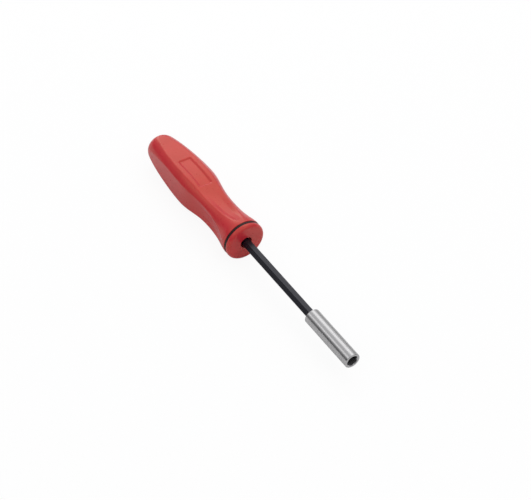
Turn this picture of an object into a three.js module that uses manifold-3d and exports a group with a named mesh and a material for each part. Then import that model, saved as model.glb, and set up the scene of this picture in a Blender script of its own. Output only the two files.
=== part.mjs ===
// A nut driver: a moulded grip with four flats and a ring in its collar, a hexagonal shank that is
// moulded into the grip by its two forged wings, and a round socket pressed on the shank's tip.
// Millimetres, +Z up. The tool lies along X with the socket towards +X and its sunk tablet facing up.
// The origin is under the middle of the tool, level with its lowest point.

import * as THREE from "three";
import { mergeVertices } from "three/addons/utils/BufferGeometryUtils.js";
import Module from "manifold-3d";

const wasm = await Module();
wasm.setup();

// The whole tool, from the butt to the socket's face
const overallLength = 234.6;

// Grip outline, from the butt forward: the rounded end, the tail, the belly, the waist and the collar
const buttFlatRadius = 2.4;
const buttRoundLength = 7.5;
const buttRoundRadius = 10.75;
const buttTaper = 0.23;
const tailLength = 42.2;
const bellyRadius = 15.2;
const bellyToWaist = 32;
const waistRadius = 11.6;
const waistToCollar = 25.2;
const collarRadius = 14.25;

// Collar, from its rear end to the nose: a land, the ring's groove, a band and the rounded shoulder
const grooveLand = 0.2;
const grooveWidth = 2;
const grooveDepth = 1.6;
const collarBand = 1;
const noseRound = 2.2;
const ringSink = 0.2;
const ringEdgeRound = 0.35;

// How far each curve of the grip holds its direction at its ends, as a share of the curve's own reach
const buttEase = 0.75;
const tailEase = 0.25;
const bellyEaseBack = 0.32;
const bellyEaseFront = 0.36;
const waistEaseBack = 0.5;
const waistEaseFront = 0.65;
const collarEase = 0.22;

// Four flats pressed into the grip. They start near the butt, are at their deepest from the rear of the
// belly to its top, and run out at the collar. From the belly's front on they are hollow: the hollow has
// a level floor across a share of the flat's width, and its deepest place leans forward.
const flatCount = 4;
const flatSink = 2.47;
const flatFromButt = 3;
const flatFullBehindBelly = 7.7;
const hollowSink = 0.9;
const hollowAheadOfBelly = 8;
const hollowFloorShare = 0.4;
const hollowLean = 1.2;

// Tablet sunk into the top flat, with its middle a little behind the top of the belly
const tabletBehindBelly = 1.5;
const tabletLength = 27.2;
const tabletWidth = 9;
const tabletCornerRadius = 1;
const tabletDepth = 0.8;

// Gap between two pieces that are pressed or moulded together, and a cutter's reach past a surface
const fitGap = 0.25;
const cutOver = 1;

// Shank, with two wings near its hidden end, and the counterbore round it in the nose
const shankAcrossFlats = 6;
const shankFromButt = 12;
const shankEndChamfer = 0.6;
const wingSpan = 11;
const wingLength = 14;
const wingThickness = 2.4;
const wingShoulder = 3;
const wingFromEnd = 9;
const counterboreClearance = 0.7;
const counterboreDepth = 3;
const counterboreLip = 0.4;

// Socket: its wall is measured from the corners of the widest hexagon inside it
const recessAcrossFlats = 7.1;
const recessDepth = 30;
const recessLeadIn = 0.45;
const shankInSocket = 15.4;
const socketWall = 1.45;
const socketFrontChamfer = 0.4;
const socketRearChamfer = 0.35;

// Facets: steps round each half of a flat and round the corner beside it, and along each curve
const stepsPerHalfFlat = 4;
const stepsPerHalfCorner = 5;
const curveSteps = 10;
const filletSteps = 2;
const leastFlatHalfAngle = THREE.MathUtils.degToRad(10);
const roundSegments = 2 * flatCount * (stepsPerHalfFlat + stepsPerHalfCorner);

// Places along the axis, measured forward from the butt
const bellyAt = buttRoundLength + tailLength;
const waistAt = bellyAt + bellyToWaist;
const collarAt = waistAt + waistToCollar;
const grooveRear = collarAt + grooveLand;
const grooveFront = grooveRear + grooveWidth;
const shoulderAt = grooveFront + collarBand;
const noseAt = shoulderAt + noseRound;
const flatFullFrom = bellyAt - flatFullBehindBelly;
const hollowFrom = bellyAt + hollowAheadOfBelly;
const tabletAt = bellyAt - tabletBehindBelly;
const counterboreFloor = noseAt - counterboreDepth;
const shankFront = overallLength - recessDepth;
const socketRear = shankFront - shankInSocket;

// Distances from the axis
const grooveRadius = collarRadius - grooveDepth;
const shankHoleAcrossFlats = shankAcrossFlats + 2 * fitGap;
const counterboreRadius = shankAcrossFlats / Math.sqrt(3) + counterboreClearance;
const socketRadius = Math.max(recessAcrossFlats, shankHoleAcrossFlats) / Math.sqrt(3) + socketWall;
const outsideRadius = Math.max(bellyRadius, collarRadius) + cutOver;
const restHeight = Math.max(collarRadius, bellyRadius - flatSink);

// A closed geometry as a solid that can be joined and cut
function solidFrom(geometry) {
  const bare = geometry.clone();
  bare.deleteAttribute("normal");
  bare.deleteAttribute("uv");
  const merged = mergeVertices(bare, 1e-4);
  return new wasm.Manifold(
    new wasm.Mesh({
      numProp: 3,
      vertProperties: merged.attributes.position.array,
      triVerts: new Uint32Array(merged.index.array),
    }),
  );
}

// A solid as a geometry again
function geometryFrom(solid) {
  const { vertProperties, triVerts } = solid.getMesh();
  const geometry = new THREE.BufferGeometry();
  geometry.setAttribute("position", new THREE.BufferAttribute(vertProperties, 3));
  geometry.setIndex(new THREE.BufferAttribute(triVerts, 1));
  geometry.computeVertexNormals();
  return geometry;
}

// Turns an outline of (place along the axis, radius) about the X axis
function revolve(outline, steps) {
  const profile = outline.getPoints(steps).map((p) => new THREE.Vector2(Math.max(p.y, 0), p.x));
  return new THREE.LatheGeometry(profile, roundSegments).rotateZ(-Math.PI / 2);
}

// Extrudes a shape drawn in (Y, Z) along X, from one place on the axis to another
function alongAxis(shape, from, to) {
  const geometry = new THREE.ExtrudeGeometry(shape, { depth: to - from, bevelEnabled: false });
  return geometry.rotateX(Math.PI / 2).rotateZ(Math.PI / 2).translate(from, 0, 0);
}

// A hexagon with flats at top and bottom, or with corners there when it is turned by half a side
function hexagon(acrossFlats, turn = 0) {
  const cornerRadius = acrossFlats / Math.sqrt(3);
  const corners = Array.from({ length: 6 }, (_, i) => {
    const angle = turn + (i * Math.PI) / 3;
    return new THREE.Vector2(cornerRadius * Math.cos(angle), cornerRadius * Math.sin(angle));
  });
  return new THREE.Shape(corners);
}

// The grip as it would be turned: butt, belly, waist, collar with its groove, nose and counterbore
function gripOutline() {
  const outline = new THREE.Path();
  outline.moveTo(0, 0);
  outline.lineTo(0, buttFlatRadius);
  outline.bezierCurveTo(
    0,
    THREE.MathUtils.lerp(buttFlatRadius, buttRoundRadius, buttEase),
    buttRoundLength / 2,
    buttRoundRadius - (buttTaper * buttRoundLength) / 2,
    buttRoundLength,
    buttRoundRadius,
  );
  outline.bezierCurveTo(
    buttRoundLength + tailLength * tailEase,
    buttRoundRadius + buttTaper * tailLength * tailEase,
    bellyAt - tailLength * bellyEaseBack,
    bellyRadius,
    bellyAt,
    bellyRadius,
  );
  outline.bezierCurveTo(
    bellyAt + bellyToWaist * bellyEaseFront,
    bellyRadius,
    waistAt - bellyToWaist * waistEaseBack,
    waistRadius,
    waistAt,
    waistRadius,
  );
  outline.bezierCurveTo(
    waistAt + waistToCollar * waistEaseFront,
    waistRadius,
    collarAt - waistToCollar * collarEase,
    collarRadius,
    collarAt,
    collarRadius,
  );
  outline.lineTo(grooveRear, collarRadius);
  outline.lineTo(grooveRear, grooveRadius);
  outline.lineTo(grooveFront, grooveRadius);
  outline.lineTo(grooveFront, collarRadius);
  outline.lineTo(shoulderAt, collarRadius);
  outline.absarc(shoulderAt, collarRadius - noseRound, noseRound, Math.PI / 2, 0, true);
  outline.lineTo(noseAt, counterboreRadius + counterboreLip);
  outline.lineTo(noseAt - counterboreLip, counterboreRadius);
  outline.lineTo(counterboreFloor, counterboreRadius);
  outline.lineTo(counterboreFloor, 0);
  return outline;
}

// The turned grip's radius at a place between the butt and the collar
function gripRadiusAt(along) {
  const points = gripOutline().getPoints(curveSteps);
  const next = points.findIndex((p) => p.x > along);
  const [a, b] = [points[next - 1], points[next]];
  return THREE.MathUtils.mapLinear(along, a.x, b.x, a.y, b.y);
}

// How deep the edges of a flat lie below the top of the turned grip
function flatSinkAt(along) {
  if (along < flatFromButt || along > collarAt) {
    return 0;
  }
  if (along < flatFullFrom) {
    return flatSink * (1 - ((flatFullFrom - along) / (flatFullFrom - flatFromButt)) ** 2);
  }
  if (along < bellyAt) {
    return flatSink;
  }
  return flatSink * (1 - ((along - bellyAt) / (collarAt - bellyAt)) ** 2);
}

// How much deeper than its edges a flat lies, at a place along it and at a share of its half width
function hollowSinkAt(along, widthShare) {
  if (along < hollowFrom || along > collarAt) {
    return 0;
  }
  const lengthShare = (along - hollowFrom) / (collarAt - hollowFrom);
  const deepest = hollowSink * Math.sin(Math.PI * lengthShare ** hollowLean) ** 2;
  return deepest * (1 - THREE.MathUtils.smoothstep(widthShare, hollowFloorShare, 1));
}

// Presses the flats into the turned grip. On each ring the points slide round until some of them lie
// on the edges of the flats, and then the points between those edges move in to the flat.
function pressFlats(geometry) {
  const place = geometry.attributes.position;
  const sector = (2 * Math.PI) / flatCount;
  const flatShare = stepsPerHalfFlat / (stepsPerHalfFlat + stepsPerHalfCorner);
  for (let i = 0; i < place.count; i += 1) {
    const along = place.getX(i);
    const radius = Math.hypot(place.getY(i), place.getZ(i));
    const height = radius - flatSinkAt(along);
    const angle = Math.atan2(place.getY(i), place.getZ(i));
    const flatMiddle = Math.round(angle / sector) * sector;
    const share = Math.abs(angle - flatMiddle) / (sector / 2);
    const edge = Math.max(Math.acos(height / radius) || 0, leastFlatHalfAngle);
    const turned =
      share < flatShare
        ? (edge * share) / flatShare
        : THREE.MathUtils.mapLinear(share, flatShare, 1, edge, sector / 2);
    const hollow = hollowSinkAt(along, Math.tan(turned) / Math.tan(edge));
    const pressed = Math.min(radius, (height - hollow) / Math.cos(turned));
    const newAngle = flatMiddle + Math.sign(angle - flatMiddle) * turned;
    place.setY(i, pressed * Math.sin(newAngle));
    place.setZ(i, pressed * Math.cos(newAngle));
  }
  return geometry;
}

// What is sunk into the top flat: a rounded rectangle in plan, with a floor parallel to the flat
function tabletCutter() {
  const halfLength = tabletLength / 2;
  const halfWidth = tabletWidth / 2;
  const r = tabletCornerRadius;
  const plan = new THREE.Shape();
  plan.moveTo(-halfLength + r, -halfWidth);
  plan.lineTo(halfLength - r, -halfWidth);
  plan.absarc(halfLength - r, -halfWidth + r, r, -Math.PI / 2, 0);
  plan.lineTo(halfLength, halfWidth - r);
  plan.absarc(halfLength - r, halfWidth - r, r, 0, Math.PI / 2);
  plan.lineTo(-halfLength + r, halfWidth);
  plan.absarc(-halfLength + r, halfWidth - r, r, Math.PI / 2, Math.PI);
  plan.lineTo(-halfLength, -halfWidth + r);
  plan.absarc(-halfLength + r, -halfWidth + r, r, Math.PI, 1.5 * Math.PI);
  const columnShape = { depth: outsideRadius, bevelEnabled: false, curveSegments: filletSteps };
  const column = new THREE.ExtrudeGeometry(plan, columnShape).translate(tabletAt, 0, 0);

  const rear = tabletAt - halfLength - cutOver;
  const front = tabletAt + halfLength + cutOver;
  const side = new THREE.Shape();
  side.moveTo(rear, outsideRadius);
  for (let i = 0; i <= curveSteps; i += 1) {
    const along = THREE.MathUtils.lerp(rear, front, i / curveSteps);
    side.lineTo(along, gripRadiusAt(along) - flatSinkAt(along) - tabletDepth);
  }
  side.lineTo(front, outsideRadius);
  const bandShape = { depth: tabletWidth + 2 * cutOver, bevelEnabled: false };
  const band = new THREE.ExtrudeGeometry(side, bandShape).rotateX(Math.PI / 2);
  band.translate(0, halfWidth + cutOver, 0);
  return solidFrom(column).intersect(solidFrom(band));
}

// The forged wings: a flat plate with sloping shoulders, wider than the bar, grown by a gap
function wingPlate(gap) {
  const rear = shankFromButt + wingFromEnd - gap;
  const front = shankFromButt + wingFromEnd + wingLength + gap;
  const half = wingSpan / 2 + gap;
  const plate = new THREE.Shape();
  plate.moveTo(rear, 0);
  plate.lineTo(rear + wingShoulder, -half);
  plate.lineTo(front - wingShoulder, -half);
  plate.lineTo(front, 0);
  plate.lineTo(front - wingShoulder, half);
  plate.lineTo(rear + wingShoulder, half);
  const thickness = wingThickness + 2 * gap;
  const geometry = new THREE.ExtrudeGeometry(plate, { depth: thickness, bevelEnabled: false });
  return solidFrom(geometry.translate(0, 0, -thickness / 2));
}

function makeHandle() {
  const grip = solidFrom(pressFlats(revolve(gripOutline(), curveSteps)));
  const hole = hexagon(shankHoleAcrossFlats);
  const shankHole = solidFrom(alongAxis(hole, shankFromButt - fitGap, counterboreFloor + cutOver));
  return geometryFrom(grip.subtract(tabletCutter()).subtract(shankHole).subtract(wingPlate(fitGap)));
}

function makeRing() {
  const inner = grooveRadius + fitGap;
  const outer = collarRadius - ringSink;
  const round = outer - ringEdgeRound;
  const rear = grooveRear + fitGap;
  const front = grooveFront - fitGap;
  const outline = new THREE.Path();
  outline.moveTo(rear, inner);
  outline.lineTo(rear, round);
  outline.absarc(rear + ringEdgeRound, round, ringEdgeRound, Math.PI, Math.PI / 2, true);
  outline.lineTo(front - ringEdgeRound, outer);
  outline.absarc(front - ringEdgeRound, round, ringEdgeRound, Math.PI / 2, 0, true);
  outline.lineTo(front, inner);
  outline.lineTo(rear, inner);
  return revolve(outline, filletSteps);
}

// A round bar with coned ends, which takes the corners off both ends of the hexagonal bar
function shankEnvelope() {
  const flat = shankAcrossFlats / 2 - shankEndChamfer;
  const outside = shankAcrossFlats / Math.sqrt(3) + cutOver;
  const cone = outside - flat;
  const outline = new THREE.Path();
  outline.moveTo(shankFromButt, 0);
  outline.lineTo(shankFromButt, flat);
  outline.lineTo(shankFromButt + cone, outside);
  outline.lineTo(shankFront - cone, outside);
  outline.lineTo(shankFront, flat);
  outline.lineTo(shankFront, 0);
  return outline;
}

function makeShank() {
  const bar = solidFrom(alongAxis(hexagon(shankAcrossFlats), shankFromButt, shankFront));
  const eased = bar.intersect(solidFrom(revolve(shankEnvelope(), 1)));
  return geometryFrom(eased.add(wingPlate(0)));
}

function socketOutline() {
  const outline = new THREE.Path();
  outline.moveTo(socketRear, 0);
  outline.lineTo(socketRear, socketRadius - socketRearChamfer);
  outline.lineTo(socketRear + socketRearChamfer, socketRadius);
  outline.lineTo(overallLength - socketFrontChamfer, socketRadius);
  outline.lineTo(overallLength, socketRadius - socketFrontChamfer);
  outline.lineTo(overallLength, 0);
  return outline;
}

// The cone that leads a nut into the recess: at the front face it is as wide as the recess's corners
function leadInCone() {
  const mouth = recessAcrossFlats / Math.sqrt(3);
  const slope = (mouth - recessAcrossFlats / 2) / recessLeadIn;
  const outline = new THREE.Path();
  outline.moveTo(overallLength - mouth / slope, 0);
  outline.lineTo(overallLength + cutOver, mouth + slope * cutOver);
  outline.lineTo(overallLength + cutOver, 0);
  return outline;
}

function makeSocket() {
  const recess = hexagon(recessAcrossFlats, Math.PI / 6);
  const bore = hexagon(shankHoleAcrossFlats);
  const body = solidFrom(revolve(socketOutline(), 1));
  const nutSpace = solidFrom(alongAxis(recess, shankFront, overallLength + cutOver));
  const shankSpace = solidFrom(alongAxis(bore, socketRear - cutOver, shankFront + cutOver));
  const leadIn = solidFrom(revolve(leadInCone(), 1));
  return geometryFrom(body.subtract(nutSpace).subtract(shankSpace).subtract(leadIn));
}

const redPlastic = new THREE.MeshStandardMaterial({ color: 0xc22936, roughness: 0.35, metalness: 0 });
const blackRubber = new THREE.MeshStandardMaterial({ color: 0x1c1a1a, roughness: 0.7, metalness: 0 });
const blackSteel = new THREE.MeshStandardMaterial({ color: 0x2c2c30, roughness: 0.4, metalness: 1 });
const brightSteel = new THREE.MeshStandardMaterial({ color: 0xc4c4c6, roughness: 0.3, metalness: 1 });

function piece(name, geometry, material) {
  const mesh = new THREE.Mesh(geometry, material);
  mesh.name = name;
  return mesh;
}

const nutDriver = new THREE.Group();
nutDriver.name = "nut_driver";
const tool = new THREE.Group();
tool.position.set(-overallLength / 2, 0, restHeight);
tool.add(piece("handle", makeHandle(), redPlastic));
tool.add(piece("identification_ring", makeRing(), blackRubber));
tool.add(piece("shank", makeShank(), blackSteel));
tool.add(piece("socket", makeSocket(), brightSteel));
nutDriver.add(tool);

export default nutDriver;
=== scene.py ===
"""Looks of a nut driver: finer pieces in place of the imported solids, materials, floor, light and camera.

Metres, +Z up. The tool lies along X with its socket towards +X, and its sunk tablet faces up.
A place "along" the tool is measured forward from the butt, and an angle round it from +Z towards +Y.
"""

import math

import bmesh
import bpy
import numpy as np
from mathutils import Matrix, Vector


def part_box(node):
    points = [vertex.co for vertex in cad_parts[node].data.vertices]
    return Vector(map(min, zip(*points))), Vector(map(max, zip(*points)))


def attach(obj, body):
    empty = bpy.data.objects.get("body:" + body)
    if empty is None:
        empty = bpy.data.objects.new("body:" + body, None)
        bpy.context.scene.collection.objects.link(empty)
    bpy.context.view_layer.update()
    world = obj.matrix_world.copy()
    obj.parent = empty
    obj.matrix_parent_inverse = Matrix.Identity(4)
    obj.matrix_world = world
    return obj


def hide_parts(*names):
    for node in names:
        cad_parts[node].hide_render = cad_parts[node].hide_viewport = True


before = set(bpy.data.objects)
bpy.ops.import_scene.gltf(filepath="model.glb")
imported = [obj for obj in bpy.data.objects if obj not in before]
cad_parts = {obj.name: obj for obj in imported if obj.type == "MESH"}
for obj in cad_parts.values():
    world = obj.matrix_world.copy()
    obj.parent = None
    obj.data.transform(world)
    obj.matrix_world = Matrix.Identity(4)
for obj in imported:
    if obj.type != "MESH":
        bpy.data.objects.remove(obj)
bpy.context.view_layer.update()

MM = 0.001

# Places and sizes that the frame gives
handle_low, handle_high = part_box("handle")
shank_low, shank_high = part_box("shank")
socket_low, socket_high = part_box("socket")
BUTT_X = handle_low.x
AXIS_Z = (socket_low.z + socket_high.z) / 2
COLLAR_RADIUS = (handle_high.y - handle_low.y) / 2
SOCKET_RADIUS = (socket_high.y - socket_low.y) / 2

# Grip outline, from the butt forward
BUTT_FLAT_RADIUS = 2.4 * MM
BUTT_ROUND_LENGTH = 7.5 * MM
BUTT_ROUND_RADIUS = 10.75 * MM
BUTT_TAPER = 0.23
TAIL_LENGTH = 42.2 * MM
BELLY_RADIUS = 15.2 * MM
BELLY_TO_WAIST = 32 * MM
WAIST_RADIUS = 11.6 * MM
WAIST_TO_COLLAR = 25.2 * MM
GROOVE_LAND = 0.2 * MM
GROOVE_WIDTH = 2 * MM
GROOVE_DEPTH = 1.6 * MM
NOSE_ROUND = 2.2 * MM
COUNTERBORE_RADIUS = 4.16 * MM
COUNTERBORE_DEPTH = 3 * MM
COUNTERBORE_LIP = 0.4 * MM

# How far each curve of the grip holds its direction at its ends, as a share of the curve's own reach
BUTT_EASE = 0.75
TAIL_EASE = 0.25
BELLY_EASE_BACK = 0.32
BELLY_EASE_FRONT = 0.36
WAIST_EASE_BACK = 0.5
WAIST_EASE_FRONT = 0.65
COLLAR_EASE = 0.22

# Flats of the grip, their hollows at the waist, and the tablet sunk into the top one
FLAT_COUNT = 4
FLAT_SINK = 2.47 * MM
FLAT_FROM_BUTT = 3 * MM
FLAT_FULL_BEHIND_BELLY = 7.7 * MM
HOLLOW_SINK = 0.9 * MM
HOLLOW_AHEAD_OF_BELLY = 8 * MM
HOLLOW_LEAN = 1.2
HOLLOW_FLOOR_SHARE = 0.4
TABLET_BEHIND_BELLY = 1.5 * MM
TABLET_LENGTH = 27.2 * MM
TABLET_WIDTH = 9 * MM
TABLET_CORNER_RADIUS = 1 * MM
TABLET_DEPTH = 0.8 * MM

# Ring and steel pieces
RING_SINK = 0.2 * MM
HEXAGON_SIDES = 6
SHANK_ACROSS_FLATS = 6 * MM
SHANK_END_CHAMFER = 0.6 * MM
WING_SPAN = 11 * MM
WING_LENGTH = 14 * MM
WING_THICKNESS = 2.4 * MM
WING_SHOULDER = 3 * MM
WING_FROM_END = 9 * MM
RECESS_ACROSS_FLATS = 7.1 * MM
RECESS_LEAD_IN = 0.45 * MM
SOCKET_REAR_ROUND = 0.35 * MM
SOCKET_FRONT_ROUND = 0.4 * MM

# Softness of edges that the solids leave sharp, and the gaps that the fits really have
FLAT_EDGE_BLEND = 0.35 * MM
FLAT_EDGE_REACH = 0.6 * MM
TABLET_WALL = 1.5 * MM
GROOVE_EDGE_REAR = 0.2 * MM
GROOVE_EDGE_FRONT = 0.4 * MM
RING_EDGE_ROUND = 0.35 * MM
RING_GAP = 0.06 * MM
SHANK_EDGE_ROUND = 0.35 * MM
PRESS_GAP = 0.03 * MM

# Steps and limits of the meshes
ROW_STEP = 0.7 * MM
BUTT_STEPS = 22
CURVE_STEPS = 200
EDGE_STEPS = 6
CORNER_STEPS = 7
FILLET_STEPS = 5
NOSE_STEPS = 12
ROUND_COLUMNS = 120
SAME_POINT = 0.001 * MM
LEAST_FLAT_HALF_ANGLE = math.radians(6)
SHARP_ANGLE = math.radians(32)

# Places along the grip
BELLY_AT = BUTT_ROUND_LENGTH + TAIL_LENGTH
WAIST_AT = BELLY_AT + BELLY_TO_WAIST
COLLAR_AT = WAIST_AT + WAIST_TO_COLLAR
GROOVE_REAR = COLLAR_AT + GROOVE_LAND
GROOVE_FRONT = GROOVE_REAR + GROOVE_WIDTH
NOSE_AT = handle_high.x - BUTT_X
SHOULDER_AT = NOSE_AT - NOSE_ROUND
COUNTERBORE_FLOOR = NOSE_AT - COUNTERBORE_DEPTH
FLAT_FULL_FROM = BELLY_AT - FLAT_FULL_BEHIND_BELLY
HOLLOW_FROM = BELLY_AT + HOLLOW_AHEAD_OF_BELLY
TABLET_AT = BELLY_AT - TABLET_BEHIND_BELLY
SHANK_REAR = shank_low.x - BUTT_X
SHANK_FRONT = shank_high.x - BUTT_X
SOCKET_REAR = socket_low.x - BUTT_X
SOCKET_FRONT = socket_high.x - BUTT_X

# The photograph: its size and focal length in pixels, and where one point of the axis lies in it
PHOTO_WIDTH = 531
PHOTO_HEIGHT = 500
FOCAL_PIXELS = 2370
AXIS_POINT = Vector((0.0345, 0, AXIS_Z))
AXIS_POINT_PIXEL = (279.58, 279.75)
AXIS_POINT_DEPTH = 1.532
AXIS_TILT = math.radians(35.0)
AXIS_SLOPE = math.radians(47.98)
TOP_FLAT_TURN = math.radians(31.3)
SENSOR_WIDTH_MM = 36

# The noises in the materials: their levels of detail, and the span that most of their values lie in
NOISE_DETAIL = 3.0
NOISE_LOW = 0.3
NOISE_HIGH = 0.7


def round_point(along, radius, angle):
    """A point of the frame from its place along the tool, its distance from the axis and its angle."""
    return (BUTT_X + along, radius * math.sin(angle), AXIS_Z + radius * math.cos(angle))


def shell(rings, joined):
    """Vertices and faces through rings of points, whose ends are joined to each other or capped."""
    count, columns = len(rings), len(rings[0])
    vertices = [point for ring in rings for point in ring]
    faces = []
    for i in range(count if joined else count - 1):
        here, ahead = i * columns, (i + 1) % count * columns
        for j in range(columns):
            beside = (j + 1) % columns
            faces.append((here + j, ahead + j, ahead + beside, here + beside))
    if not joined:
        last = len(vertices) - columns
        first_middle, last_middle = len(vertices), len(vertices) + 1
        vertices += [tuple(np.mean(ring, axis=0)) for ring in (rings[0], rings[-1])]
        for j in range(columns):
            beside = (j + 1) % columns
            faces.append((first_middle, j, beside))
            faces.append((last_middle, last + beside, last + j))
    return vertices, faces


def join_points(mesh):
    """Points that lie on each other become one, so that no face is left without area."""
    shape = bmesh.new()
    shape.from_mesh(mesh)
    bmesh.ops.remove_doubles(shape, verts=shape.verts, dist=SAME_POINT)
    shape.to_mesh(mesh)
    shape.free()


def make_piece(name, shells, material, node):
    """A piece made of closed shells, which stands for a node of the frame."""
    vertices, faces = [], []
    for shell_vertices, shell_faces in shells:
        first = len(vertices)
        vertices += shell_vertices
        faces += [tuple(first + i for i in face) for face in shell_faces]
    mesh = bpy.data.meshes.new(name)
    mesh.from_pydata(vertices, [], faces)
    join_points(mesh)
    mesh.shade_smooth()
    mesh.set_sharp_from_angle(angle=SHARP_ANGLE)
    mesh.materials.append(material)
    piece = bpy.data.objects.new(name, mesh)
    bpy.context.scene.collection.objects.link(piece)
    normals = piece.modifiers.new("flat faces stay flat", "WEIGHTED_NORMAL")
    normals.keep_sharp = True
    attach(piece, "root")
    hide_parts(node)
    return piece


def bezier(start, hold_start, hold_end, end, steps):
    """Points of a cubic curve, both ends included."""
    t = np.linspace(0, 1, steps + 1)[:, None]
    points = [np.array(p, float) for p in (start, hold_start, hold_end, end)]
    weights = ((1 - t) ** 3, 3 * t * (1 - t) ** 2, 3 * t**2 * (1 - t), t**3)
    return sum(w * p for w, p in zip(weights, points))


def fillet(centre, radius, start, end, steps=FILLET_STEPS):
    """Points of an arc in (along, radius), from one angle in degrees to another."""
    angles = np.radians(np.linspace(start, end, steps + 1))
    return [(centre[0] + radius * math.cos(a), centre[1] + radius * math.sin(a)) for a in angles]


def grip_skin():
    """The turned outline from the end of the butt's rounding to the collar, densely."""
    butt_end = (BUTT_ROUND_LENGTH, BUTT_ROUND_RADIUS)
    belly = (BELLY_AT, BELLY_RADIUS)
    waist = (WAIST_AT, WAIST_RADIUS)
    collar = (COLLAR_AT, COLLAR_RADIUS)
    tail_hold = TAIL_LENGTH * TAIL_EASE
    tail = bezier(
        butt_end,
        (BUTT_ROUND_LENGTH + tail_hold, BUTT_ROUND_RADIUS + BUTT_TAPER * tail_hold),
        (BELLY_AT - TAIL_LENGTH * BELLY_EASE_BACK, BELLY_RADIUS),
        belly,
        CURVE_STEPS,
    )
    middle = bezier(
        belly,
        (BELLY_AT + BELLY_TO_WAIST * BELLY_EASE_FRONT, BELLY_RADIUS),
        (WAIST_AT - BELLY_TO_WAIST * WAIST_EASE_BACK, WAIST_RADIUS),
        waist,
        CURVE_STEPS,
    )
    front = bezier(
        waist,
        (WAIST_AT + WAIST_TO_COLLAR * WAIST_EASE_FRONT, WAIST_RADIUS),
        (COLLAR_AT - WAIST_TO_COLLAR * COLLAR_EASE, COLLAR_RADIUS),
        collar,
        CURVE_STEPS,
    )
    return np.vstack([tail, middle[1:], front[1:]])


def tablet_rows():
    """Places along the grip where the tablet's end walls and corners need rows of their own."""
    from_end = np.concatenate([
        np.linspace(-TABLET_WALL, TABLET_WALL, EDGE_STEPS + 1),
        np.linspace(-2 * TABLET_CORNER_RADIUS, -TABLET_WALL, FILLET_STEPS)[:-1],
    ])
    reach = TABLET_LENGTH / 2 + from_end
    return np.concatenate([TABLET_AT - reach, TABLET_AT + reach])


def grip_outline():
    """(along, radius) of the grip from the butt to the counterbore's floor."""
    butt = bezier(
        (0, BUTT_FLAT_RADIUS),
        (0, BUTT_FLAT_RADIUS + BUTT_EASE * (BUTT_ROUND_RADIUS - BUTT_FLAT_RADIUS)),
        (BUTT_ROUND_LENGTH / 2, BUTT_ROUND_RADIUS - BUTT_TAPER * BUTT_ROUND_LENGTH / 2),
        (BUTT_ROUND_LENGTH, BUTT_ROUND_RADIUS),
        BUTT_STEPS,
    )
    skin = grip_skin()
    plain_rows = np.arange(BUTT_ROUND_LENGTH + ROW_STEP, COLLAR_AT, ROW_STEP)
    rows = np.unique(np.concatenate([plain_rows, tablet_rows(), [COLLAR_AT]]))
    groove_floor = COLLAR_RADIUS - GROOVE_DEPTH
    rear, front, lip = GROOVE_EDGE_REAR, GROOVE_EDGE_FRONT, COUNTERBORE_LIP
    outline = [tuple(point) for point in butt]
    outline += [(x, np.interp(x, skin[:, 0], skin[:, 1])) for x in rows]
    outline += fillet((GROOVE_REAR - rear, COLLAR_RADIUS - rear), rear, 90, 0)
    outline += [(GROOVE_REAR, groove_floor), (GROOVE_FRONT, groove_floor)]
    outline += fillet((GROOVE_FRONT + front, COLLAR_RADIUS - front), front, 180, 90)
    outline += fillet((SHOULDER_AT, COLLAR_RADIUS - NOSE_ROUND), NOSE_ROUND, 90, 0, NOSE_STEPS)
    outline += fillet((NOSE_AT - lip, COUNTERBORE_RADIUS + lip), lip, 0, -90)
    outline += [(COUNTERBORE_FLOOR, COUNTERBORE_RADIUS)]
    return outline


def flat_sink(along):
    """How deep the flats are. They start near the butt, are full at the belly and end at the collar."""
    if along < FLAT_FROM_BUTT or along > COLLAR_AT:
        return 0
    if along < FLAT_FULL_FROM:
        return FLAT_SINK * (1 - ((FLAT_FULL_FROM - along) / (FLAT_FULL_FROM - FLAT_FROM_BUTT)) ** 2)
    if along < BELLY_AT:
        return FLAT_SINK
    return FLAT_SINK * (1 - ((along - BELLY_AT) / (COLLAR_AT - BELLY_AT)) ** 2)


def hollow_sink(along):
    """How much deeper the middle of a flat is, from the front of the belly to the collar."""
    share = (along - HOLLOW_FROM) / (COLLAR_AT - HOLLOW_FROM)
    if share < 0 or share > 1:
        return 0
    return HOLLOW_SINK * math.sin(math.pi * share ** HOLLOW_LEAN) ** 2


def hollow_side(share):
    """The share of a hollow's depth across a flat's half width: a level floor, then a rising side."""
    rise = min(max((share - HOLLOW_FLOOR_SHARE) / (1 - HOLLOW_FLOOR_SHARE), 0), 1)
    return 1 - rise * rise * (3 - 2 * rise)


def flat_edge(along, radius):
    """Half the angle that a flat takes up round the grip."""
    return max(math.acos(1 - flat_sink(along) / radius), LEAST_FLAT_HALF_ANGLE)


def grip_angles(along, radius):
    """Columns of one ring of the grip: a flat's number, and the angle from the middle of that flat.

    They crowd at the edges of the flats and of the tablet.
    """
    height = radius - flat_sink(along)
    edge = flat_edge(along, radius)
    soft = min(FLAT_EDGE_REACH / radius, edge / 2)
    wall = np.linspace(-TABLET_WALL, TABLET_WALL, EDGE_STEPS + 1) + TABLET_WIDTH / 2
    inner = np.linspace(0, wall[0], EDGE_STEPS + 1)[:-1]
    across = np.concatenate([inner, wall])
    room = height * math.tan(edge - soft)
    across *= min(1, room / (across[-1] + TABLET_WALL))
    corner = math.pi / FLAT_COUNT
    half = np.concatenate([
        np.arctan2(across, height),
        np.linspace(edge - soft, edge + soft, EDGE_STEPS + 1),
        np.linspace(edge + soft, corner, CORNER_STEPS + 1)[1:],
    ])
    sector = np.concatenate([-half[-2:0:-1], half])
    return [(flat, angle) for flat in range(FLAT_COUNT) for angle in sector]


def turn_to_flat(flat, angle):
    """An angle round the tool, from an angle that is measured from the middle of a flat."""
    return angle + flat * 2 * math.pi / FLAT_COUNT


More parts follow.
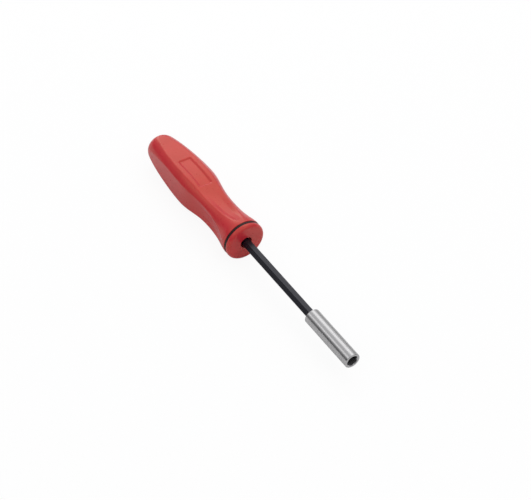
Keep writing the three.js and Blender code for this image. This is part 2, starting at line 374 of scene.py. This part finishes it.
def soft_min(a, b, blend):
    """The lesser of two numbers, with the corner between them rounded off."""
    overlap = max(blend - abs(a - b), 0) / blend
    return min(a, b) - overlap**2 * blend / 4


def tablet_sink(along, across):
    """How deep the tablet is at a point of the top flat."""
    r = TABLET_CORNER_RADIUS
    past_length = abs(along - TABLET_AT) - TABLET_LENGTH / 2 + r
    past_width = abs(across) - TABLET_WIDTH / 2 + r
    past_corner = math.hypot(max(past_length, 0), max(past_width, 0))
    outside = past_corner + min(max(past_length, past_width), 0) - r
    t = min(max(0.5 - outside / TABLET_WALL, 0), 1)
    return TABLET_DEPTH * t * t * (3 - 2 * t)


def grip_ring(along, radius):
    """One ring of the grip, with the flats pressed in and the tablet sunk into the top one."""
    sink = flat_sink(along)
    blend = min(FLAT_EDGE_BLEND, sink)
    half_width = math.tan(flat_edge(along, radius))
    ring = []
    for flat, angle in grip_angles(along, radius):
        pressed = radius
        if sink > 0:
            hollow = hollow_sink(along) * hollow_side(abs(math.tan(angle)) / half_width)
            pressed = soft_min(radius, (radius - sink - hollow) / math.cos(angle), blend)
        x, y, z = round_point(along, pressed, turn_to_flat(flat, angle))
        if flat == 0 and sink > 0:
            z -= tablet_sink(along, y)
        ring.append((x, y, z))
    return ring


def hexagon_radius(angle, across_flats, first_flat):
    """Distance from the axis to a hexagon's side, one of whose flats faces the angle first_flat."""
    side = 2 * math.pi / HEXAGON_SIDES
    from_flat = (angle - first_flat + side / 2) % side - side / 2
    return across_flats / 2 / math.cos(from_flat)


def make_handle(material):
    """The grip, with the hexagonal hole for the shank in it."""
    rings = [grip_ring(along, radius) for along, radius in grip_outline()]
    columns = grip_angles(COUNTERBORE_FLOOR, COUNTERBORE_RADIUS)
    angles = [turn_to_flat(flat, angle) for flat, angle in columns]
    hole = SHANK_ACROSS_FLATS + 2 * PRESS_GAP
    for along in (COUNTERBORE_FLOOR, SHANK_REAR - PRESS_GAP):
        rings.append([round_point(along, hexagon_radius(a, hole, 0), a) for a in angles])
    make_piece("handle_look", [shell(rings, False)], material, "handle")


def full_turn():
    """Angles of a plain round ring."""
    return [2 * math.pi * j / ROUND_COLUMNS for j in range(ROUND_COLUMNS)]


def turned_rings(outline):
    """Round rings through an outline of (along, radius)."""
    return [[round_point(along, radius, a) for a in full_turn()] for along, radius in outline]


def make_ring(material):
    """The closed band in the collar's groove."""
    inner = COLLAR_RADIUS - GROOVE_DEPTH + RING_GAP
    outer = COLLAR_RADIUS - RING_SINK
    r = RING_EDGE_ROUND
    rear = GROOVE_REAR + RING_GAP
    front = GROOVE_FRONT - RING_GAP
    outline = [(rear, inner)]
    outline += fillet((rear + r, outer - r), r, 180, 90)
    outline += fillet((front - r, outer - r), r, 90, 0)
    outline += [(front, inner)]
    band = shell(turned_rings(outline), True)
    make_piece("ring_look", [band], material, "identification_ring")


def shank_ring(along, across_flats):
    """A hexagon with rounded corners, and with flats at the top and bottom."""
    side = 2 * math.pi / HEXAGON_SIDES
    centre = (across_flats / 2 - SHANK_EDGE_ROUND) / math.cos(side / 2)
    ring = []
    for i in range(HEXAGON_SIDES):
        corner = side * (i + 0.5)
        for turn in np.linspace(-side / 2, side / 2, FILLET_STEPS + 1):
            y = centre * math.sin(corner) + SHANK_EDGE_ROUND * math.sin(corner + turn)
            z = centre * math.cos(corner) + SHANK_EDGE_ROUND * math.cos(corner + turn)
            ring.append((BUTT_X + along, y, AXIS_Z + z))
    return ring


def wing_plate():
    """The two forged wings near the shank's hidden end, as one plate through the bar."""
    rear = BUTT_X + SHANK_REAR + WING_FROM_END
    front = rear + WING_LENGTH
    half = WING_SPAN / 2
    plan = [
        (rear, 0),
        (rear + WING_SHOULDER, -half),
        (front - WING_SHOULDER, -half),
        (front, 0),
        (front - WING_SHOULDER, half),
        (rear + WING_SHOULDER, half),
    ]
    levels = (AXIS_Z + WING_THICKNESS / 2, AXIS_Z - WING_THICKNESS / 2)
    return shell([[(x, y, z) for x, y in plan] for z in levels], False)


def make_shank(material):
    """The hexagonal bar and its wings."""
    narrow = SHANK_ACROSS_FLATS - 2 * SHANK_END_CHAMFER
    rings = [
        shank_ring(SHANK_REAR, narrow),
        shank_ring(SHANK_REAR + SHANK_END_CHAMFER, SHANK_ACROSS_FLATS),
        shank_ring(SHANK_FRONT - SHANK_END_CHAMFER, SHANK_ACROSS_FLATS),
        shank_ring(SHANK_FRONT, narrow),
    ]
    make_piece("shank_look", [shell(rings, False), wing_plate()], material, "shank")


def make_socket(outside, inside):
    """The round socket. Its recess and bore have a material of their own, whose dark colour is painted
    shade.
    """
    radius, rear_round, front_round = SOCKET_RADIUS, SOCKET_REAR_ROUND, SOCKET_FRONT_ROUND
    outline = fillet((SOCKET_REAR + rear_round, radius - rear_round), rear_round, 180, 90)
    outline += fillet((SOCKET_FRONT - front_round, radius - front_round), front_round, 90, 0)
    mouth = RECESS_ACROSS_FLATS / math.sqrt(3)
    slope = (mouth - RECESS_ACROSS_FLATS / 2) / RECESS_LEAD_IN
    recess = [hexagon_radius(a, RECESS_ACROSS_FLATS, math.pi / 2) for a in full_turn()]
    bore = [hexagon_radius(a, SHANK_ACROSS_FLATS + 2 * PRESS_GAP, 0) for a in full_turn()]
    turns = list(zip(full_turn(), recess, bore))
    rings = turned_rings(outline + [(SOCKET_FRONT, mouth)])
    rings.append([round_point(SOCKET_FRONT - (mouth - r) / slope, r, a) for a, r, _ in turns])
    rings.append([round_point(SHANK_FRONT, r, a) for a, r, _ in turns])
    rings.append([round_point(SHANK_FRONT, b, a) for a, _, b in turns])
    rings.append([round_point(SOCKET_REAR, b, a) for a, _, b in turns])
    socket = make_piece("socket_look", [shell(rings, True)], outside, "socket")
    socket.data.materials.append(inside)
    # Faces inside the mouth get the darker steel, whose colour is painted shade of the recess and bore.
    lead_in_end = BUTT_X + SOCKET_FRONT - RECESS_LEAD_IN
    for face in socket.data.polygons:
        if face.center.x < lead_in_end and math.hypot(face.center.y, face.center.z - AXIS_Z) < mouth:
            face.material_index = 1


def new_material(name, constants):
    """A material with a principled shader, whose constant inputs are set by name."""
    material = bpy.data.materials.new(name)
    material.use_nodes = True
    shader = material.node_tree.nodes["Principled BSDF"]
    for socket, value in constants.items():
        shader.inputs[socket].default_value = value
    return material, material.node_tree, shader


def noise(tree, scale, fineness=(1, 1, 1)):
    """A noise in metres. A number under 1 in fineness draws its grain out along that axis."""
    place = tree.nodes.new("ShaderNodeTexCoord")
    mapping = tree.nodes.new("ShaderNodeMapping")
    mapping.inputs["Scale"].default_value = fineness
    texture = tree.nodes.new("ShaderNodeTexNoise")
    texture.inputs["Scale"].default_value = scale
    texture.inputs["Detail"].default_value = NOISE_DETAIL
    tree.links.new(place.outputs["Object"], mapping.inputs["Vector"])
    tree.links.new(mapping.outputs["Vector"], texture.inputs["Vector"])
    return texture.outputs["Fac"]


def blend_colours(tree, value, low, dark, high, light):
    """A colour that moves from dark to light while a value goes from low to high."""
    ramp = tree.nodes.new("ShaderNodeValToRGB")
    ramp.color_ramp.elements[0].position = low
    ramp.color_ramp.elements[0].color = (*dark, 1)
    ramp.color_ramp.elements[1].position = high
    ramp.color_ramp.elements[1].color = (*light, 1)
    tree.links.new(value, ramp.inputs["Fac"])
    return ramp.outputs["Color"]


def vary_colour(tree, shader, value, dark, light):
    """The base colour moves between two colours with a noise."""
    colour = blend_colours(tree, value, NOISE_LOW, dark, NOISE_HIGH, light)
    tree.links.new(colour, shader.inputs["Base Color"])


def vary_roughness(tree, shader, value, low, high):
    """The roughness moves between two values with a noise."""
    spread = tree.nodes.new("ShaderNodeMapRange")
    spread.inputs["From Min"].default_value = NOISE_LOW
    spread.inputs["From Max"].default_value = NOISE_HIGH
    spread.inputs["To Min"].default_value = low
    spread.inputs["To Max"].default_value = high
    tree.links.new(value, spread.inputs["Value"])
    tree.links.new(spread.outputs["Result"], shader.inputs["Roughness"])


def add_bump(tree, shader, value, height, strength):
    """A fine relief of the given height in metres."""
    bump = tree.nodes.new("ShaderNodeBump")
    bump.inputs["Distance"].default_value = height
    bump.inputs["Strength"].default_value = strength
    tree.links.new(value, bump.inputs["Height"])
    tree.links.new(bump.outputs["Normal"], shader.inputs["Normal"])


def red_plastic():
    """Moulded plastic: a little clouded in colour and gloss, with a faint relief and a warm sheen."""
    constants = {"IOR": 1.5, "Specular Tint": (1.0, 0.9, 0.45, 1)}
    material, tree, shader = new_material("red moulded plastic", constants)
    vary_colour(tree, shader, noise(tree, 90), (0.48, 0.019, 0.032), (0.52, 0.023, 0.038))
    vary_roughness(tree, shader, noise(tree, 700), 0.27, 0.35)
    add_bump(tree, shader, noise(tree, 1600), 0.02 * MM, 0.25)
    return material


def black_rubber():
    """Dull rubber with a fine grain and a warm sheen."""
    constants = {"IOR": 1.5, "Specular IOR Level": 0.28, "Specular Tint": (1.0, 0.7, 0.65, 1)}
    material, tree, shader = new_material("black rubber", constants)
    vary_colour(tree, shader, noise(tree, 900), (0.012, 0.005, 0.005), (0.02, 0.008, 0.008))
    vary_roughness(tree, shader, noise(tree, 2500), 0.42, 0.55)
    add_bump(tree, shader, noise(tree, 5000), 0.02 * MM, 0.4)
    return material


def black_steel():
    """Drawn bar with a black finish: fine lines along it and a cool sheen."""
    constants = {"IOR": 1.5, "Specular IOR Level": 0.38, "Specular Tint": (0.92, 0.93, 1.0, 1)}
    material, tree, shader = new_material("blackened steel", constants)
    drawn = (0.02, 1, 1)
    vary_colour(tree, shader, noise(tree, 2500, drawn), (0.002, 0.002, 0.005), (0.006, 0.006, 0.011))
    vary_roughness(tree, shader, noise(tree, 900, (0.15, 1, 1)), 0.25, 0.38)
    add_bump(tree, shader, noise(tree, 4000, drawn), 0.01 * MM, 0.3)
    return material


def bright_steel():
    """Ground steel: fine lines round the socket."""
    material, tree, shader = new_material("ground steel", {"Metallic": 1.0})
    ground = (1, 0.03, 0.03)
    vary_colour(tree, shader, noise(tree, 1800, ground), (0.378, 0.375, 0.375), (0.418, 0.415, 0.415))
    vary_roughness(tree, shader, noise(tree, 3000, ground), 0.24, 0.29)
    add_bump(tree, shader, noise(tree, 6000, ground), 0.005 * MM, 0.12)
    return material


def recess_steel_with_painted_shade():
    """Steel as broached and hardened, with lines along the recess; its dark colour is painted shade of the
    deep recess and bore.
    """
    material, tree, shader = new_material("broached steel with painted shade", {"IOR": 1.5})
    broached = (0.05, 1, 1)
    # These dark greys are painted shade of the deep recess.
    vary_colour(tree, shader, noise(tree, 2500, broached), (0.05, 0.05, 0.052), (0.095, 0.095, 0.098))
    vary_roughness(tree, shader, noise(tree, 1500, broached), 0.4, 0.55)
    add_bump(tree, shader, noise(tree, 5000, broached), 0.01 * MM, 0.3)
    return material


def larger(tree, first, second):
    """The larger of two values."""
    node = tree.nodes.new("ShaderNodeMath")
    node.operation = "MAXIMUM"
    tree.links.new(first, node.inputs[0])
    tree.links.new(second, node.inputs[1])
    return node.outputs["Value"]


def scaled(tree, value, factor):
    """A value times a plain number."""
    node = tree.nodes.new("ShaderNodeMath")
    node.operation = "MULTIPLY"
    tree.links.new(value, node.inputs[0])
    node.inputs[1].default_value = factor
    return node.outputs["Value"]


def white_share(tree, seen, mirrored):
    """How white a background is of itself, where the camera sees it and where something mirrors it."""
    rays = tree.nodes.new("ShaderNodeLightPath")
    mirror_rays = larger(tree, rays.outputs["Is Glossy Ray"], rays.outputs["Is Transmission Ray"])
    seen_share = scaled(tree, rays.outputs["Is Camera Ray"], seen)
    return larger(tree, seen_share, scaled(tree, mirror_rays, mirrored))


def mix_white(tree, share, own, white, output):
    """A background's own shader, mixed with a white one by a share."""
    mix = tree.nodes.new("ShaderNodeMixShader")
    tree.links.new(share, mix.inputs["Fac"])
    tree.links.new(own, mix.inputs[1])
    tree.links.new(white, mix.inputs[2])
    tree.links.new(mix.outputs["Shader"], tree.nodes[output].inputs["Surface"])


def make_floor():
    """A pale floor. Part of its white is its own, so that the picture's background is white all over."""
    half = 8.0
    mesh = bpy.data.meshes.new("floor")
    corners = [(-half, -half, 0), (half, -half, 0), (half, half, 0), (-half, half, 0)]
    mesh.from_pydata(corners, [], [(0, 1, 2, 3)])
    floor = bpy.data.objects.new("floor", mesh)
    bpy.context.scene.collection.objects.link(floor)
    material, tree, shader = new_material("pale floor", {"Roughness": 0.9, "Specular IOR Level": 0.1})
    vary_colour(tree, shader, noise(tree, 3), (0.84, 0.84, 0.84), (0.86, 0.86, 0.86))
    white = tree.nodes.new("ShaderNodeEmission")
    share = white_share(tree, seen=0.92, mirrored=0.1)
    mix_white(tree, share, shader.outputs["BSDF"], white.outputs["Emission"], "Material Output")
    mesh.materials.append(material)


def softbox(name, direction, distance, length, width, radiance):
    """A rectangular light that faces the middle of the tool. Its length lies as near to X as it can."""
    light = bpy.data.lights.new(name, "AREA")
    light.shape = "RECTANGLE"
    light.size = length
    light.size_y = width
    light.energy = radiance * math.pi * length * width
    lamp = bpy.data.objects.new(name, light)
    away = Vector(direction).normalized()
    across = away.cross(Vector((1, 0, 0))).normalized()
    turn = Matrix((across.cross(away), across, away)).transposed()
    lamp.matrix_world = Matrix.Translation(away * distance) @ turn.to_4x4()
    lamp.visible_camera = False
    bpy.context.scene.collection.objects.link(lamp)


def make_world():
    """A dim room that is darker near the horizon than overhead, with a white background."""
    world = bpy.data.worlds.new("room")
    world.use_nodes = True
    tree = world.node_tree
    place = tree.nodes.new("ShaderNodeTexCoord")
    split = tree.nodes.new("ShaderNodeSeparateXYZ")
    tree.links.new(place.outputs["Generated"], split.inputs["Vector"])
    horizon, overhead = (0.08, 0.08, 0.085), (0.9, 0.9, 0.92)
    colour = blend_colours(tree, split.outputs["Z"], 0.22, horizon, 0.58, overhead)
    room = tree.nodes["Background"]
    tree.links.new(colour, room.inputs["Color"])
    white = tree.nodes.new("ShaderNodeBackground")
    white.inputs["Color"].default_value = (1, 1, 1, 1)
    share = white_share(tree, seen=1.0, mirrored=0.02)
    mix_white(tree, share, room.outputs["Background"], white.outputs["Background"], "World Output")
    bpy.context.scene.world = world


def make_camera():
    """The photograph's camera, from where the tool's axis lies in it and how the tool is turned."""
    flat_cos, flat_sin = math.cos(TOP_FLAT_TURN), math.sin(TOP_FLAT_TURN)
    towards = Vector((0, -flat_sin, flat_cos))
    across = Vector((0, flat_cos, flat_sin))
    axis = Vector((1, 0, 0))
    back = axis * math.sin(AXIS_TILT) + towards * math.cos(AXIS_TILT)
    down_axis = axis * math.cos(AXIS_TILT) - towards * math.sin(AXIS_TILT)
    right = down_axis * math.cos(AXIS_SLOPE) + across * math.sin(AXIS_SLOPE)
    up = across * math.cos(AXIS_SLOPE) - down_axis * math.sin(AXIS_SLOPE)
    metres_per_pixel = AXIS_POINT_DEPTH / FOCAL_PIXELS
    shift_right = (AXIS_POINT_PIXEL[0] - PHOTO_WIDTH / 2) * metres_per_pixel
    shift_up = (PHOTO_HEIGHT / 2 - AXIS_POINT_PIXEL[1]) * metres_per_pixel
    place = AXIS_POINT - right * shift_right - up * shift_up + back * AXIS_POINT_DEPTH
    data = bpy.data.cameras.new("photograph")
    data.sensor_width = SENSOR_WIDTH_MM
    data.lens = FOCAL_PIXELS * SENSOR_WIDTH_MM / PHOTO_WIDTH
    camera = bpy.data.objects.new("photograph", data)
    camera.matrix_world = Matrix.Translation(place) @ Matrix((right, up, back)).transposed().to_4x4()
    bpy.context.scene.collection.objects.link(camera)
    bpy.context.scene.camera = camera


make_handle(red_plastic())
make_ring(black_rubber())
make_shank(black_steel())
# The recess and bore get a second steel whose dark colour is painted shade.
make_socket(bright_steel(), recess_steel_with_painted_shade())

make_floor()
make_world()

# Lights: each one's direction from the tool, then distance, length and width in metres, then radiance
softbox("key softbox", (-0.65, 0.33, 0.69), 1.1, 1.8, 0.65, 1.13)
softbox("far side softbox", (-0.5, 0.85, 0.3), 1.6, 1.6, 0.9, 0.45)
softbox("near side softbox", (-0.34, -0.63, 0.7), 1.4, 0.95, 0.35, 1.0)
softbox("front softbox", (0.65, 0.25, 0.7), 1.3, 1.0, 1.0, 0.75)
softbox("rear softbox", (-0.93, 0.19, 0.31), 1.3, 0.5, 0.45, 1.3)

make_camera()
bpy.context.scene.view_settings.view_transform = "Standard"
